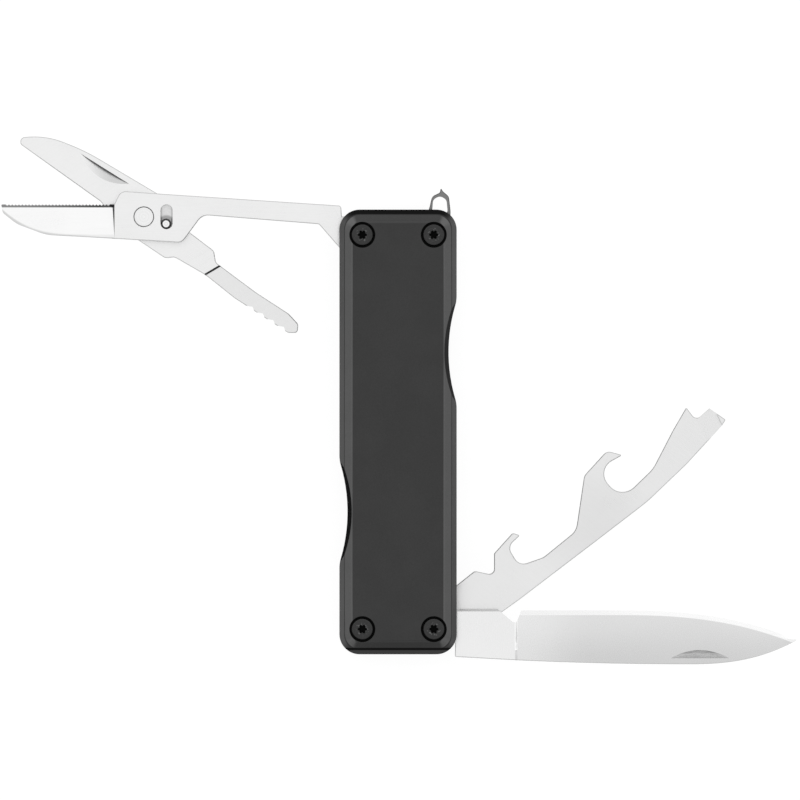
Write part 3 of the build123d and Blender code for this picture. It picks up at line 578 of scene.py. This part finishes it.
# ---------------------------------------------------------------- finishes on the nodes
# Each steel's level is its tone, its turn the grain's in degrees, and rough its roughness.
slot_finishes = {
    "anodised_black": anodised("anodised_black"),
    "black_screw": black_oxide("black_screw"),
    "bronze": bronze("bronze"),
    "liner_steel": satin_steel("liner_steel", level=0.72, turn=90, rough=0.32),
    "spring_steel": satin_steel("spring_steel", level=0.68, turn=90, rough=0.3),
    "pin_steel": satin_steel("pin_steel", level=0.88, turn=20, rough=0.22, grain=0.5),
    "loop_steel": satin_steel(
        "loop_steel", level=0.2, turn=0, rough=0.25, grain=0.6, detail=loop_detail
    ),
    "blade_steel": satin_steel(
        "blade_steel", level=0.82, turn=90, rough=0.27, grain=0.3, detail=knife_detail
    ),
    "tool_steel": satin_steel(
        "tool_steel", level=0.77, turn=40, rough=0.3, grain=0.6, detail=opener_detail
    ),
}
node_finishes = {
    "scissor_frame": satin_steel(
        "scissor_frame_steel", level=0.815, turn=0, rough=0.3, grain=0.6, detail=frame_detail
    ),
    "scissor_blade": satin_steel(
        "scissor_blade_steel", level=0.82, turn=-30, rough=0.3, grain=0.6, detail=jaw_detail
    ),
    "scissor_rivet": satin_steel(
        "rivet_steel", level=0.83, turn=20, rough=0.24, grain=0.5, detail=rivet_detail
    ),
    "scissor_limit_pin": satin_steel(
        "limit_pin_steel", level=0.88, turn=20, rough=0.22, grain=0.5, detail=pin_detail
    ),
}

for name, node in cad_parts.items():
    slot = node.data.materials[0].name
    node.data.materials[0] = node_finishes.get(name, slot_finishes[slot])


# ---------------------------------------------------------------- floor
FLOOR_HALF = 3.0
FLOOR_DROP = 0.02 * MM  # clear of the rear scale
FLOOR_TONE = 0.14
FLOOR_GLOW = 0.9
CORNERS = ((-1, -1), (1, -1), (1, 1), (-1, 1))

floor_mesh = bpy.data.meshes.new("floor")
floor_mesh.from_pydata(
    [(x * FLOOR_HALF, y * FLOOR_HALF, 0) for x, y in CORNERS], [], [(0, 1, 2, 3)]
)
floor = bpy.data.objects.new("floor", floor_mesh)
scene.collection.objects.link(floor)
floor.location.z = -FLOOR_DROP
paper, _, shader = new_material("white_paper")
shader.inputs["Base Color"].default_value = grey(FLOOR_TONE)
shader.inputs["Roughness"].default_value = 0.9
shader.inputs["Emission Color"].default_value = grey(1.0)
shader.inputs["Emission Strength"].default_value = FLOOR_GLOW
floor.data.materials.append(paper)


# ---------------------------------------------------------------- light
# A pale studio: brighter towards the handle's head and from the sides, dimmer low down, and
# white at the horizon, where it meets the floor.
BASE_GLOW = 1.035
HEAD_GLOW = 0.4
SIDE_GLOW = 0.2
SIDE_START = (0.45, 0.85)  # parts of a direction, as the next two are
LOW_GLOW = 0.6  # a share of the glow higher up
LOW_END = (0.3, 0.7)
HORIZON_END = (0.06, 0.16)

world = bpy.data.worlds.new("studio")
scene.world = world
world.use_nodes = True
world.node_tree.nodes.clear()
graph = Graph(world.node_tree)
across, along, up = graph.split(graph.place("Generated"))
side = graph.math("ABSOLUTE", across)
glow = graph.plus(BASE_GLOW, graph.times(along, HEAD_GLOW))
glow = graph.plus(glow, graph.ramp(side, *SIDE_START, 0.0, SIDE_GLOW))
glow = graph.times(glow, graph.ramp(up, *LOW_END, LOW_GLOW, 1.0))
horizon = graph.fade(up, *HORIZON_END)
glow = graph.add("ShaderNodeMix", {0: horizon, 2: glow, 3: 1.0}, data_type="FLOAT").outputs[0]
background = graph.add("ShaderNodeBackground", {"Color": grey(1.0), "Strength": glow})
graph.add("ShaderNodeOutputWorld", {"Surface": background.outputs[0]})


# ---------------------------------------------------------------- camera
VIEW_WIDTH = 118.8 * MM
VIEW_CENTRE = mm(0.29, 4.74)
FACE_HEIGHT = 6.0 * MM  # the height at which VIEW_WIDTH is measured
LENS = 800.0
SENSOR = 36.0
CLIP_START = 0.05

distance = VIEW_WIDTH * LENS / SENSOR
camera_data = bpy.data.cameras.new("camera")
camera_data.type = "PERSP"
camera_data.lens = LENS
camera_data.sensor_width = SENSOR
camera_data.clip_start = CLIP_START
camera_data.clip_end = 4 * distance + 4 * FLOOR_HALF
camera = bpy.data.objects.new("camera", camera_data)
camera.location = (*VIEW_CENTRE, FACE_HEIGHT + distance)
scene.collection.objects.link(camera)
scene.camera = camera

scene.view_settings.view_transform = "Standard"
scene.view_settings.look = "None"
